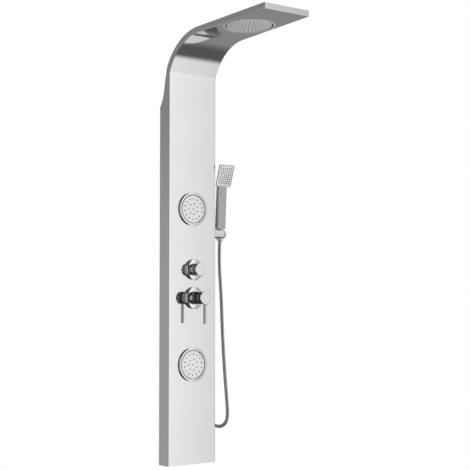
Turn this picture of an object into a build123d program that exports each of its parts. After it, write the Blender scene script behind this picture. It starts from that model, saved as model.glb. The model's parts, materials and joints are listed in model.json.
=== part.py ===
"""Rainfall shower column: a folded steel column whose top bends forward into an overhead arm.

Millimetres, +Z up, +Y into the wall, the user stands on the -Y side.
The origin is the middle of the upper bracket's two wall screws, on the wall's surface.
Places are given as (x, forward, height): x from the centre line, forward from the column's
front face, and height from its bottom edge.
"""
import os
from math import cos, pi, radians, sin, tan

from build123d import *

os.makedirs("parts", exist_ok=True)

# Column and arm
WIDTH = 200.0  # across the column
DEPTH = 56.5  # wall to front face
SHEET = 1.5  # stainless sheet
ORIGIN_HEIGHT = 1180.0  # upper wall screws above the bottom edge
REACH = 517.0  # front face to the arm's tip
ARM_THICK = 20.5
TIP_NARROWING = 8.3  # each side, from the front face to the tip
BEND_START = 1346.0  # height where the front face starts to bend
BENDS = ((60.0, 30.0), (186.0, 58.0))  # radius and turn of the two bends, inside face
BACK_TOP = 1243.0  # height where the flanges leave the wall
TOP_JOIN = 10.0  # turn already made where the flange's back edge meets the arm's top

# Heights of what sits on the front face
LOWER_JET = 343.5
MIXER = 575.6
DIVERTER = 674.0
UPPER_JET = 886.0
VALVE_X = 5.0  # the mixer and the diverter stand this far right of the centre line

# Body jets
JET_FACE_R = 49.0  # ball radius of the swivelling face
JET_BORE_R = 50.0
JET_FLANGE_R = 59.0
JET_HOLE_R = 52.0
JET_PIVOT = 2.0  # forward of the front face
JET_PIN_R = 1.6
JET_FACE_THICK = 7.0

# Overhead rain head
RAIN_FORWARD = 321.0
RAIN_RISE = 3.0  # pivot above the arm's underside
RAIN_R = 75.5
RAIN_OPENING_R = 80.5
RAIN_TRIM_R = 88.0
RAIN_AXIS_ANGLE = 35.0  # pivot line off the arm's own line

# Pin, thread and clearance sizes
PIN_CLEARANCE = 0.06
PIPE_THREAD_R = 10.48  # G1/2
INLET_PITCH = 150.0
MANIFOLD_FORWARD = -36.0
INLET_FORWARD = -30.0
PORT_UP = 15.0  # small ports stand this far from the manifold's axis
RISER_PORT = 24.0
FEED_X = 62.0  # pipe to the rain head
JET_PIPE_X = -40.0

# Wall brackets
LOWER_BRACKET = 180.0
SCREW_PITCH = 120.0
SCREW_HOLE_R = 3.25

# Hand shower and its holder
HOLDER_HEIGHT = 804.0
HOLDER_FORWARD = -25.0
HOLDER_R = 17.0
HOLDER_LENGTH = 62.5
HANDSET_OUT = 39.0  # socket axis out from the column's side
HANDSET_LEAN = 4.3
HEAD_LEAN = 18.0
HOSE_D = 12.0

HALF = WIDTH / 2
INNER = HALF - SHEET
TOTAL_TURN = BENDS[0][1] + BENDS[1][1]
ARM_RISE = tan(radians(90 - TOTAL_TURN))


def place(x, forward, height):
    """Row coordinates of a place on the column."""
    return Vector(x, -(DEPTH + forward), height - ORIGIN_HEIGHT)


def side(forward, height):
    """The same place in the side view, whose first axis is +Y."""
    return (-(DEPTH + forward), height - ORIGIN_HEIGHT)


def facing(height, forward=0.0, x=0.0):
    """Plane that looks out of the front face: local x is +X and local y is +Z."""
    return Plane(origin=place(x, forward, height), x_dir=(1, 0, 0), z_dir=(0, -1, 0))


def outward(x, forward, height):
    """Plane that looks out of the right side: local x is +Y and local y is +Z."""
    return Plane(origin=place(x, forward, height), x_dir=(0, 1, 0), z_dir=(1, 0, 0))


def turned(outline, height, x=0.0):
    """Solid turned about the line straight out of the front face; outline is (radius, forward)."""
    centre = place(x, 0, height)
    with BuildPart() as piece:
        with BuildSketch(Plane(origin=centre, x_dir=(1, 0, 0), z_dir=(0, 0, -1))):
            with BuildLine():
                Polyline(*outline, close=True)
            make_face()
        revolve(axis=Axis(centre, (0, -1, 0)))
    return piece.part


def under_line(depth, stop):
    """Front face, bends and underside in the side view, set back into the body by depth."""
    face = Line(side(-depth, 0), side(-depth, BEND_START))
    small = JernArc(face @ 1, face % 1, BENDS[0][0] + depth, BENDS[0][1])
    large = JernArc(small @ 1, small % 1, BENDS[1][0] + depth, BENDS[1][1])
    run = (stop + DEPTH + (large @ 1).X) / (large % 1).X * -1
    return Line(large @ 1, large @ 1 + (large % 1) * run)


def top_line(inset, stop):
    """Top of the arm and the flange's curved back edge in the side view, set in by inset."""
    depth = ARM_THICK - inset
    radius = BENDS[0][0] + depth
    turn = radians(TOP_JOIN)
    start = side(BENDS[0][0] - radius * cos(turn), BEND_START + radius * sin(turn))
    small = JernArc(start, (-sin(turn), cos(turn)), radius, BENDS[0][1] - TOP_JOIN)
    large = JernArc(small @ 1, small % 1, BENDS[1][0] + depth, BENDS[1][1])
    run = (stop + DEPTH + (large @ 1).X) / (large % 1).X * -1
    arm = Line(large @ 1, large @ 1 + (large % 1) * run)
    back = ((-DEPTH, BACK_TOP), (-43.0, 1265.0), (-34.0, 1291.0), (-26.5, 1330.0))
    points = [side(forward + inset, height) for forward, height in back] + [start]
    edge = Spline(*points, tangents=[(-0.59, 0.81), (-sin(turn), cos(turn))])
    return edge @ 0, arm @ 1


def body_region():
    """Side view of the whole column and arm."""
    with BuildSketch(Plane.YZ) as region:
        with BuildLine():
            under = under_line(0, REACH)
            corner, tip = top_line(0, REACH)
            Line(under @ 1, tip)
            Polyline(corner, side(-DEPTH, 0), side(0, 0))
        make_face()
    return region.sketch


def channel_region(depth, stop):
    """Side view of everything behind the front face and above the underside."""
    with BuildSketch(Plane.YZ) as region:
        with BuildLine():
            under = under_line(depth, stop)
            far = side(-DEPTH - 20, 0)
            high = side(stop, 1600)
            Polyline(under @ 1, high, (far[0], high[1]), far, side(-depth, 0))
        make_face()
    return region.sketch


def plan_region(inset):
    """Plan of the column and arm: parallel at the wall, narrowing towards the tip."""
    half = HALF - inset
    front = -DEPTH
    tip = -(DEPTH + REACH)
    narrow = half - TIP_NARROWING
    with BuildSketch(Plane.XY.offset(-ORIGIN_HEIGHT)) as region:
        with BuildLine():
            Polyline((-half, 10), (half, 10), (half, front), (narrow, tip), (-narrow, tip),
                     (-half, front), close=True)
        make_face()
    return region.sketch


def underside(forward):
    """Height of the arm's underside."""
    return UNDER_END[1] + (forward - UNDER_END[0]) * ARM_RISE


TURN_1 = radians(BENDS[0][1])
TURN_2 = radians(TOTAL_TURN)
UNDER_END = (
    BENDS[0][0] * (1 - cos(TURN_1)) + BENDS[1][0] * (cos(TURN_1) - cos(TURN_2)),
    BEND_START + BENDS[0][0] * sin(TURN_1) + BENDS[1][0] * (sin(TURN_2) - sin(TURN_1)),
)

# The rain head's own plane, parallel to the arm's underside, with its first axis on the pivot line.
UNDER_NORMAL = Vector(0, ARM_RISE, 1).normalized()
RAIN_PIVOT = place(0, RAIN_FORWARD, underside(RAIN_FORWARD)) + UNDER_NORMAL * RAIN_RISE
RAIN_AXIS = Vector(
    sin(radians(RAIN_AXIS_ANGLE)),
    cos(radians(RAIN_AXIS_ANGLE)),
    -cos(radians(RAIN_AXIS_ANGLE)) * ARM_RISE,
)
RAIN_LEVEL = Plane(origin=RAIN_PIVOT, x_dir=RAIN_AXIS, z_dir=UNDER_NORMAL)


def faces_user(face):
    """True for the front face, the two bends and the underside."""
    normal = face.normal_at()
    centre = face.center()
    above_bottom = centre.Z > 1 - ORIGIN_HEIGHT
    behind_tip = centre.Y > 1 - DEPTH - REACH
    return normal.Z < 0.01 and normal.Y < 0.1 and above_bottom and behind_tip


# ---- Folded sheet -------------------------------------------------------------------------
OUTLET = (HALF, MANIFOLD_FORWARD, DIVERTER)
HOLDER = (HALF, HOLDER_FORWARD, HOLDER_HEIGHT)

with BuildPart() as front_panel:
    extrude(body_region(), amount=HALF + 1, both=True)
    extrude(plan_region(0), amount=1700, mode=Mode.INTERSECT)
    front_edges = front_panel.faces().filter_by(faces_user).edges()
    fillet(front_edges.filter_by(lambda edge: abs(edge.center().X) > HALF / 2), SHEET + 0.7)
    with BuildPart(mode=Mode.SUBTRACT):
        extrude(channel_region(SHEET, REACH - SHEET), amount=HALF + 1, both=True)
        extrude(plan_region(SHEET), amount=1800, mode=Mode.INTERSECT)
    for jet_height in (UPPER_JET, LOWER_JET):
        with BuildSketch(facing(jet_height, -10)):
            Circle(JET_HOLE_R)
        extrude(amount=20, mode=Mode.SUBTRACT)
    for valve_height, neck_r in ((DIVERTER, 15.0), (MIXER, 19.0)):
        with BuildSketch(facing(valve_height, -10, VALVE_X)):
            Circle(neck_r)
        extrude(amount=20, mode=Mode.SUBTRACT)
    with BuildSketch(RAIN_LEVEL):
        Circle(RAIN_OPENING_R + 0.5)
    extrude(amount=9, both=True, mode=Mode.SUBTRACT)
    with BuildSketch(outward(OUTLET[0] - 5, *OUTLET[1:])):
        Circle(10.7)
    extrude(amount=10, mode=Mode.SUBTRACT)
    with BuildSketch(outward(HOLDER[0] - 5, *HOLDER[1:])):
        with Locations((0, 10), (0, -10)):
            Circle(2.6)
    extrude(amount=10, mode=Mode.SUBTRACT)
front_panel.part.label = "front_panel"
export_step(front_panel.part, "parts/front_panel.step")

with BuildPart() as arm_cover:
    with BuildSketch(Plane.YZ):
        with BuildLine():
            outer_corner, outer_tip = top_line(0, REACH - SHEET)
            inner_corner, inner_tip = top_line(SHEET, REACH - SHEET)
            Line(outer_tip, inner_tip)
            Line(outer_corner, inner_corner)
        make_face()
    extrude(amount=HALF, both=True)
    extrude(plan_region(SHEET), amount=1800, mode=Mode.INTERSECT)
arm_cover.part.label = "arm_cover"
export_step(arm_cover.part, "parts/arm_cover.step")

with BuildPart() as bottom_cap:
    with BuildSketch(Plane.XY.offset(-ORIGIN_HEIGHT)):
        with Locations(place(0, -DEPTH / 2 - SHEET / 2, 0)):
            Rectangle(2 * INNER, DEPTH - SHEET)
    extrude(amount=SHEET)
    with BuildSketch(Plane.XY.offset(-ORIGIN_HEIGHT)):
        with Locations(place(0, -DEPTH + SHEET / 2, 0)):
            Rectangle(2 * INNER, SHEET)
    extrude(amount=15)
bottom_cap.part.label = "bottom_cap"
export_step(bottom_cap.part, "parts/bottom_cap.step")


# ---- Wall brackets and the crossbars that hang on them --------------------------------------
def wall_bracket(name, height):
    """Plate on the wall with a shelf and a turned-up lip."""
    zero = height - ORIGIN_HEIGHT
    with BuildPart() as piece:
        with BuildSketch(Plane.YZ):
            with BuildLine():
                Polyline((0, zero - 25), (0, zero + 25), (-6, zero + 25), (-6, zero + 37),
                         (-8, zero + 37), (-8, zero + 23), (-2, zero + 23), (-2, zero - 25),
                         close=True)
            make_face()
        extrude(amount=75, both=True)
        with BuildSketch(Plane.XZ.offset(-5)):
            with Locations((-SCREW_PITCH / 2, zero), (SCREW_PITCH / 2, zero)):
                Circle(SCREW_HOLE_R)
        extrude(amount=20, mode=Mode.SUBTRACT)
    piece.part.label = name
    export_step(piece.part, f"parts/{name}.step")


def crossbar(name, height):
    """Folded bar between the flanges whose turned-down lip hooks behind the bracket's lip."""
    zero = height - ORIGIN_HEIGHT
    with BuildPart() as piece:
        with BuildSketch(Plane.YZ):
            with BuildLine():
                Polyline((-12, zero - 20), (-12, zero + 45), (-3, zero + 45), (-3, zero + 25),
                         (-5, zero + 25), (-5, zero + 43), (-10, zero + 43), (-10, zero - 20),
                         close=True)
            make_face()
        extrude(amount=INNER, both=True)
    piece.part.label = name
    export_step(piece.part, f"parts/{name}.step")


wall_bracket("upper_wall_bracket", ORIGIN_HEIGHT)
wall_bracket("lower_wall_bracket", LOWER_BRACKET)
crossbar("upper_crossbar", ORIGIN_HEIGHT)
crossbar("lower_crossbar", LOWER_BRACKET)


# ---- Body jets --------------------------------------------------------------------------------
def body_jet(name, height, inlet_side):
    """Flange, lock nut, rear chamber, swivelling face and its rubber nozzles."""
    collar = turned(
        ((JET_BORE_R, -16), (JET_HOLE_R - 0.3, -16), (JET_HOLE_R - 0.3, 0), (JET_FLANGE_R, 0),
         (JET_FLANGE_R, 3.6), (JET_FLANGE_R - 0.5, 5), (JET_FLANGE_R - 1.8, 5.8), (55, 6.4),
         (JET_BORE_R + 1.2, 6.4), (JET_BORE_R, 5.6)), height)
    with BuildPart() as flange:
        add(collar)
        with BuildSketch(outward(-54, JET_PIVOT, height)):
            Circle(JET_PIN_R + PIN_CLEARANCE)
        extrude(amount=108, mode=Mode.SUBTRACT)
    flange.part.label = f"{name}_flange"
    export_step(flange.part, f"parts/{name}_flange.step")

    with BuildPart() as nut:
        with BuildSketch(facing(height, -7)):
            RegularPolygon(64, 12)
            Circle(JET_HOLE_R - 0.3, mode=Mode.SUBTRACT)
        extrude(amount=7 - SHEET)
    nut.part.label = f"{name}_nut"
    export_step(nut.part, f"parts/{name}_nut.step")

    with BuildPart() as chamber:
        add(turned(((0, -16), (51.7, -16), (51.7, -20), (30, -25), (14, -27), (14, -46), (0, -46)), height))
        with BuildSketch(Plane.XY.offset(height - ORIGIN_HEIGHT)):
            with Locations(place(0, -38, 0)):
                Circle(8)
        extrude(amount=48 * inlet_side)
    chamber.part.label = f"{name}_chamber"
    export_step(chamber.part, f"parts/{name}_chamber.step")

    with BuildPart(facing(height, JET_PIVOT)) as face:
        Sphere(JET_FACE_R)
        Box(120, 120, JET_FACE_THICK, mode=Mode.INTERSECT)
        Cylinder(JET_PIN_R, 2 * 53.6, rotation=(0, 90, 0))
        with Locations((0, 0, JET_FACE_THICK / 2)):
            Cylinder(43, 1.2, mode=Mode.SUBTRACT)
    face.part.label = f"{name}_face"
    export_step(face.part, f"parts/{name}_face.step")

    front = JET_PIVOT + JET_FACE_THICK / 2 - 0.6
    with BuildPart() as nozzles:
        with BuildSketch(facing(height, front)):
            Circle(2.2)
            with PolarLocations(19, 7):
                Circle(2.2)
            with PolarLocations(36, 14):
                Circle(2.2)
        extrude(amount=2.2, taper=12)
    nozzles.part.label = f"{name}_nozzles"
    export_step(nozzles.part, f"parts/{name}_nozzles.step")


body_jet("upper_jet", UPPER_JET, -1)
body_jet("lower_jet", LOWER_JET, 1)

# ---- Diverter -----------------------------------------------------------------------------------
with BuildPart() as diverter_valve:
    add(turned(((0, -49), (20, -49), (20, -SHEET), (14.7, -SHEET), (14.7, 10), (5.06, 10), (5.06, -20),
                (0, -20)), DIVERTER, VALVE_X))
    with BuildSketch(outward(-74, MANIFOLD_FORWARD, DIVERTER)):
        Circle(11)
    extrude(amount=74 + VALVE_X - 16)
    with BuildSketch(outward(VALVE_X + 16, MANIFOLD_FORWARD, DIVERTER)):
        Circle(11)
    extrude(amount=74 - VALVE_X - 16)
    with BuildSketch(Plane.XY.offset(DIVERTER - ORIGIN_HEIGHT)):
        with Locations(place(FEED_X, MANIFOLD_FORWARD, 0), place(JET_PIPE_X, MANIFOLD_FORWARD, 0)):
            Circle(6.5)
    extrude(amount=PORT_UP)
    with BuildSketch(Plane.XY.offset(DIVERTER - ORIGIN_HEIGHT)):
        with Locations(place(JET_PIPE_X, MANIFOLD_FORWARD, 0)):
            Circle(6.5)
    extrude(amount=-PORT_UP)
    with BuildSketch(Plane.XY.offset(DIVERTER - ORIGIN_HEIGHT)):
        with Locations(place(VALVE_X, MANIFOLD_FORWARD, 0)):
            Circle(9.5)
    extrude(amount=-RISER_PORT)
diverter_valve.part.label = "diverter_valve"
export_step(diverter_valve.part, "parts/diverter_valve.step")

with BuildPart() as diverter_escutcheon:
    add(turned(((36, 0), (37.5, 0), (37.5, 3.5), (36.6, 5.8), (34.5, 7.4), (31, 8.4), (24, 9), (15.2, 9.4),
                (15.2, 7.8), (24, 7.4), (31, 6.8), (34.6, 4.6)), DIVERTER, VALVE_X))
diverter_escutcheon.part.label = "diverter_escutcheon"
export_step(diverter_escutcheon.part, "parts/diverter_escutcheon.step")

with BuildPart() as diverter_spindle:
    add(turned(((0, -19), (5, -19), (5, 32), (0, 32)), DIVERTER, VALVE_X))
diverter_spindle.part.label = "diverter_spindle"
export_step(diverter_spindle.part, "parts/diverter_spindle.step")

with BuildPart() as diverter_knob:
    add(turned(((5, 11), (19, 11), (21, 11.6), (21, 15), (23, 15.6), (23, 30), (21.6, 30.8), (21.6, 32.8),
                (23, 33.6), (23, 41.6), (21.6, 43), (0, 43), (0, 32), (5, 32)), DIVERTER, VALVE_X))
diverter_knob.part.label = "diverter_knob"
export_step(diverter_knob.part, "parts/diverter_knob.step")

# ---- Mixer --------------------------------------------------------------------------------------
MIXER_PIVOT = 30.0  # forward place of the lever's hinge
LEVER_FORWARD = 67.0
LEVER_R = 5.5

with BuildPart() as mixer_valve:
    add(turned(((0, -52), (21, -52), (21, -SHEET), (18.7, -SHEET), (18.7, 8.5), (15.2, 8.5), (15.2, -12),
                (0, -12)), MIXER, VALVE_X))
    with BuildSketch(outward(-INLET_PITCH / 2, INLET_FORWARD, MIXER)):
        Circle(10)
    extrude(amount=INLET_PITCH / 2 + VALVE_X - 15)
    with BuildSketch(outward(VALVE_X + 15, INLET_FORWARD, MIXER)):
        Circle(10)
    extrude(amount=INLET_PITCH / 2 - VALVE_X - 15)
    for inlet_x in (-INLET_PITCH / 2, INLET_PITCH / 2):
        with BuildSketch(facing(MIXER, -40, inlet_x)):
            Circle(13)
        extrude(amount=22)
    with BuildSketch(Plane.XY.offset(MIXER - ORIGIN_HEIGHT)):
        with Locations(place(VALVE_X, MANIFOLD_FORWARD, 0)):
            Circle(9.5)
    extrude(amount=RISER_PORT)
mixer_valve.part.label = "mixer_valve"
export_step(mixer_valve.part, "parts/mixer_valve.step")

for inlet_name, inlet_x in (("hot_inlet", -INLET_PITCH / 2), ("cold_inlet", INLET_PITCH / 2)):
    with BuildPart() as inlet:
        with BuildSketch(facing(MIXER, -54, inlet_x)):
            Circle(PIPE_THREAD_R)
            Circle(7, mode=Mode.SUBTRACT)
        extrude(amount=14)
    inlet.part.label = inlet_name
    export_step(inlet.part, f"parts/{inlet_name}.step")

with BuildPart() as mixer_cartridge:
    add(turned(((0, -12), (15.2, -12), (15.2, 8.5), (10, 8.5), (10, 12), (5, 12), (5, 34), (0, 34)), MIXER, VALVE_X))
mixer_cartridge.part.label = "mixer_cartridge"
export_step(mixer_cartridge.part, "parts/mixer_cartridge.step")

with BuildPart() as mixer_escutcheon:
    add(turned(((38, 0), (39.5, 0), (39.5, 3.5), (38.6, 5.8), (36.4, 7.4), (33, 8.4), (27, 9), (19.2, 9.3),
                (19.2, 7.8), (27, 7.4), (33, 6.8), (36.6, 4.6)), MIXER, VALVE_X))
mixer_escutcheon.part.label = "mixer_escutcheon"
export_step(mixer_escutcheon.part, "parts/mixer_escutcheon.step")

with BuildPart() as mixer_collar:
    add(turned(((10.4, 9.8), (22, 9.8), (24, 10.8), (24, 22.6), (23, 23.5), (17, 23.5), (17, 34), (5.06, 34),
                (5.06, 12.4), (10.4, 12.4)), MIXER, VALVE_X))
    with BuildSketch(outward(VALVE_X - 20, MIXER_PIVOT, MIXER)):
        Circle(2 + PIN_CLEARANCE)
    extrude(amount=40, mode=Mode.SUBTRACT)
mixer_collar.part.label = "mixer_collar"
export_step(mixer_collar.part, "parts/mixer_collar.step")

with BuildPart() as mixer_handle:
    add(turned(((21.5, 34.3), (23, 34.3), (24, 35), (24, 56), (22.8, 56.6), (22.8, 58.4), (24, 59), (24, 73),
                (22.6, 74.4), (0, 74.4), (0, 58), (21.5, 58)), MIXER, VALVE_X))
    with Locations(place(VALVE_X, LEVER_FORWARD, MIXER - 20)):
        Cylinder(LEVER_R, 20, mode=Mode.SUBTRACT)
mixer_handle.part.label = "mixer_handle"
export_step(mixer_handle.part, "parts/mixer_handle.step")

with BuildPart() as mixer_ears:
    for ear_x in (-21.6, 18.1):
        with BuildSketch(outward(VALVE_X + ear_x, MIXER_PIVOT, MIXER)):
            Circle(4.5)
            with Locations((-9, 0)):
                Rectangle(18, 9)
        extrude(amount=3.5)
    for pin_x in (-18.1, 12.1):
        with BuildSketch(outward(VALVE_X + pin_x, MIXER_PIVOT, MIXER)):
            Circle(2)
        extrude(amount=6)
    add(mixer_handle.part, mode=Mode.SUBTRACT)
mixer_ears.part.label = "mixer_ears"
export_step(mixer_ears.part, "parts/mixer_ears.step")

with BuildPart() as mixer_lever:
    with BuildSketch(Plane(origin=place(VALVE_X, LEVER_FORWARD, MIXER - 89))):
        Circle(LEVER_R)
    extrude(amount=79)
    fillet(mixer_lever.faces().sort_by(Axis.Z)[0].edges(), 1.5)
mixer_lever.part.label = "mixer_lever"
export_step(mixer_lever.part, "parts/mixer_lever.step")


def valve_nut(name, height, bore_r, across):
    """Thin hexagon nut that clamps a valve's neck to the front sheet."""
    with BuildPart() as piece:
        with BuildSketch(facing(height, 0, VALVE_X)):
            RegularPolygon(across, 6)
            Circle(bore_r, mode=Mode.SUBTRACT)
        extrude(amount=3.2)
    piece.part.label = name
    export_step(piece.part, f"parts/{name}.step")


valve_nut("diverter_nut", DIVERTER, 14.7, 21)
valve_nut("mixer_nut", MIXER, 18.7, 25)


# ---- Water pipes inside the column ----------------------------------------------------------------
def pipe(name, points, pipe_r, bend_r):
    """Pipe of straight runs and tangent bends through places inside the column."""
    with BuildPart() as piece:
        with BuildLine() as route:
            if len(points) > 2:
                FilletPolyline(*[place(*point) for point in points], radius=bend_r)
            else:
                Line(*[place(*point) for point in points])
        with BuildSketch(Plane(origin=route.line @ 0, z_dir=route.line % 0)):
            Circle(pipe_r)
        sweep(path=route.line)
    piece.part.label = name
    export_step(piece.part, f"parts/{name}.step")


pipe("riser_pipe", ((VALVE_X, MANIFOLD_FORWARD, MIXER + RISER_PORT),
                    (VALVE_X, MANIFOLD_FORWARD, DIVERTER - RISER_PORT)), 8, 0)
pipe("upper_jet_pipe", ((JET_PIPE_X, MANIFOLD_FORWARD, DIVERTER + PORT_UP),
                        (JET_PIPE_X, MANIFOLD_FORWARD, 752), (0, -38, 796), (0, -38, UPPER_JET - 48)), 5, 24)
pipe("lower_jet_pipe", ((JET_PIPE_X, MANIFOLD_FORWARD, DIVERTER - PORT_UP),
                        (JET_PIPE_X, MANIFOLD_FORWARD, 644), (JET_PIPE_X, -47.5, 618),
                        (JET_PIPE_X, -47.5, 462), (0, -38, 420), (0, -38, LOWER_JET + 48)), 5, 20)

FEED_DEPTH = 11.0  # set back from the front face where the pipe follows the bends
FEED_END = 226.0

with BuildPart() as rain_pipe:
    with BuildLine(Plane.YZ.offset(FEED_X)) as feed_route:
        climb = FilletPolyline(side(MANIFOLD_FORWARD, DIVERTER + PORT_UP), side(MANIFOLD_FORWARD, 1190),
                               side(-FEED_DEPTH, 1300), side(-FEED_DEPTH, BEND_START), radius=80)
        first = JernArc(climb @ 1, (0, 1), BENDS[0][0] + FEED_DEPTH, BENDS[0][1])
        second = JernArc(first @ 1, first % 1, BENDS[1][0] + FEED_DEPTH, BENDS[1][1])
        Line(second @ 1, second @ 1 + (second % 1) * (FEED_END - UNDER_END[0]))
    with BuildSketch(Plane(origin=feed_route.line @ 0, z_dir=(0, 0, 1))):
        Circle(5.5)
    sweep(path=feed_route.line)
rain_pipe.part.label = "rain_pipe"
export_step(rain_pipe.part, "parts/rain_pipe.step")

# ---- Overhead rain head -----------------------------------------------------------------------------
RAIN_PIN_R = 2.0
RAIN_PIN_END = 79.6
RAIN_LUG_IN = 77.2
UNION_CENTRE = 94.0
UNDER_PLANE = RAIN_LEVEL.offset(-RAIN_RISE)

with BuildPart() as rain_bezel:
    with BuildSketch(UNDER_PLANE):
        Circle(RAIN_TRIM_R)
        Circle(RAIN_OPENING_R - 0.8, mode=Mode.SUBTRACT)
    extrude(amount=-1.2)
    with BuildSketch(UNDER_PLANE):
        Circle(RAIN_OPENING_R + 0.4)
        Circle(RAIN_OPENING_R - 0.8, mode=Mode.SUBTRACT)
    extrude(amount=6)
    for lug_side in (-1, 1):
        with BuildSketch(UNDER_PLANE.offset(-1.2)):
            with Locations((lug_side * (RAIN_LUG_IN + RAIN_OPENING_R) / 2, 0)):
                Rectangle(RAIN_OPENING_R - RAIN_LUG_IN, 11)
        extrude(amount=10)
    with BuildSketch(Plane(origin=RAIN_PIVOT, z_dir=RAIN_AXIS)):
        Circle(RAIN_PIN_R + PIN_CLEARANCE)
    extrude(amount=RAIN_PIN_END + 0.2, both=True, mode=Mode.SUBTRACT)
rain_bezel.part.label = "rain_bezel"
export_step(rain_bezel.part, "parts/rain_bezel.step")

with BuildPart() as rain_union:
    with BuildSketch(UNDER_PLANE.offset(SHEET + 1)):
        with Locations((UNION_CENTRE, 0)):
            Rectangle(16, 18)
    extrude(amount=14)
rain_union.part.label = "rain_union"
export_step(rain_union.part, "parts/rain_union.step")

with BuildPart() as rain_shell:
    with BuildSketch(Plane(origin=RAIN_PIVOT, x_dir=RAIN_LEVEL.x_dir, z_dir=-RAIN_LEVEL.y_dir)):
        with BuildLine():
            Polyline((0, 5), (40, 4.8), (62, 4.2), (RAIN_R - 1, 2.6), (RAIN_R, 1.6), (RAIN_R, -3),
                     (RAIN_R - 1, -4), (RAIN_R - 3.6, -4), (RAIN_R - 3.6, 0.2), (0, 0.2), close=True)
        make_face()
    revolve(axis=Axis(RAIN_PIVOT, RAIN_LEVEL.z_dir))
    for boss_side in (-1, 1):
        with BuildSketch(RAIN_LEVEL.offset(-2.5)):
            with Locations((boss_side * (RAIN_R - 4), 0)):
                Rectangle(7, 8)
        extrude(amount=5)
    with BuildSketch(Plane(origin=RAIN_PIVOT, z_dir=RAIN_AXIS)):
        Circle(RAIN_PIN_R)
    extrude(amount=RAIN_R + 1, both=True, mode=Mode.SUBTRACT)
rain_shell.part.label = "rain_shell"
export_step(rain_shell.part, "parts/rain_shell.step")

with BuildPart() as rain_pins:
    for pin_side in (-1, 1):
        with BuildSketch(Plane(origin=RAIN_PIVOT + RAIN_AXIS.normalized() * (pin_side * (RAIN_R - 6)),
                               z_dir=RAIN_AXIS * pin_side)):
            Circle(RAIN_PIN_R)
        extrude(amount=RAIN_PIN_END - RAIN_R + 6)
rain_pins.part.label = "rain_pins"
export_step(rain_pins.part, "parts/rain_pins.step")

RAIN_FACE_R = RAIN_R - 3.9
with BuildPart() as rain_face:
    with BuildSketch(RAIN_LEVEL.offset(-3.4)):
        Circle(RAIN_FACE_R)
    extrude(amount=3.6)
    with BuildSketch(Plane(origin=RAIN_PIVOT, z_dir=RAIN_AXIS)):
        Circle(RAIN_PIN_R + 0.3)
    extrude(amount=RAIN_R, both=True, mode=Mode.SUBTRACT)
    with BuildSketch(RAIN_LEVEL.offset(-2.8)):
        with Locations((RAIN_R - 4, 0), (4 - RAIN_R, 0)):
            Rectangle(7.6, 8.6)
    extrude(amount=3.2, mode=Mode.SUBTRACT)
rain_face.part.label = "rain_face"
export_step(rain_face.part, "parts/rain_face.step")

with BuildPart() as rain_nozzles:
    with BuildSketch(RAIN_LEVEL.offset(-3.4)):
        Circle(1.5)
        for ring in range(1, 6):
            with PolarLocations(12.5 * ring, 6 * ring):
                Circle(1.5)
    extrude(amount=-1.6, taper=12)
rain_nozzles.part.label = "rain_nozzles"
export_step(rain_nozzles.part, "parts/rain_nozzles.step")

# ---- Hose outlet on the right side --------------------------------------------------------------------
ELBOW_OUT = 12.0
HOSE_TOP = 646.0  # where the hose leaves the nut under the elbow
with BuildPart() as outlet_elbow:
    with BuildSketch(outward(74, MANIFOLD_FORWARD, DIVERTER)):
        Circle(10.4)
    extrude(amount=HALF - 74)
    with BuildSketch(outward(HALF, MANIFOLD_FORWARD, DIVERTER)):
        Circle(10)
    extrude(amount=ELBOW_OUT)
    with Locations(place(HALF + ELBOW_OUT, MANIFOLD_FORWARD, DIVERTER)):
        Sphere(10)
    with BuildSketch(Plane(origin=place(HALF + ELBOW_OUT, MANIFOLD_FORWARD, DIVERTER), z_dir=(0, 0, -1))):
        Circle(9)
    extrude(amount=14)
outlet_elbow.part.label = "outlet_elbow"
export_step(outlet_elbow.part, "parts/outlet_elbow.step")

with BuildPart() as outlet_nut:
    with BuildSketch(outward(HALF - SHEET - 4, MANIFOLD_FORWARD, DIVERTER)):
        RegularPolygon(14, 6)
        Circle(10.4, mode=Mode.SUBTRACT)
    extrude(amount=4)
outlet_nut.part.label = "outlet_nut"
export_step(outlet_nut.part, "parts/outlet_nut.step")

with BuildPart() as hose_nut:
    with BuildSketch(Plane(origin=place(HALF + ELBOW_OUT, MANIFOLD_FORWARD, DIVERTER - 14), z_dir=(0, 0, -1))):
        Circle(10)
    extrude(amount=14, taper=12)
hose_nut.part.label = "hose_nut"
export_step(hose_nut.part, "parts/hose_nut.step")

# ---- Holder -----------------------------------------------------------------------------------------
LEAN = Vector(0, -sin(radians(HANDSET_LEAN)), cos(radians(HANDSET_LEAN)))
SOCKET = place(HALF + HANDSET_OUT, HOLDER_FORWARD, HOLDER_HEIGHT)


def handset_plane(up):
    """Plane square to the handset's length, up from the middle of the holder's socket."""
    return Plane(origin=SOCKET + LEAN * up, x_dir=(1, 0, 0), z_dir=LEAN)


SOCKET_TOP_R = 12.6
SOCKET_LOW_R = 11.4

with BuildPart() as holder:
    with BuildSketch(outward(HALF, HOLDER_FORWARD, HOLDER_HEIGHT)):
        Circle(HOLDER_R)
    extrude(amount=HOLDER_LENGTH - HOLDER_R)
    with Locations(place(HALF + HOLDER_LENGTH - HOLDER_R, HOLDER_FORWARD, HOLDER_HEIGHT)):
        Sphere(HOLDER_R)
    with BuildSketch(handset_plane(-24)):
        Circle(SOCKET_LOW_R)
    with BuildSketch(handset_plane(24)):
        Circle(SOCKET_TOP_R)
    loft(mode=Mode.SUBTRACT)
holder.part.label = "holder"
export_step(holder.part, "parts/holder.step")

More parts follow.
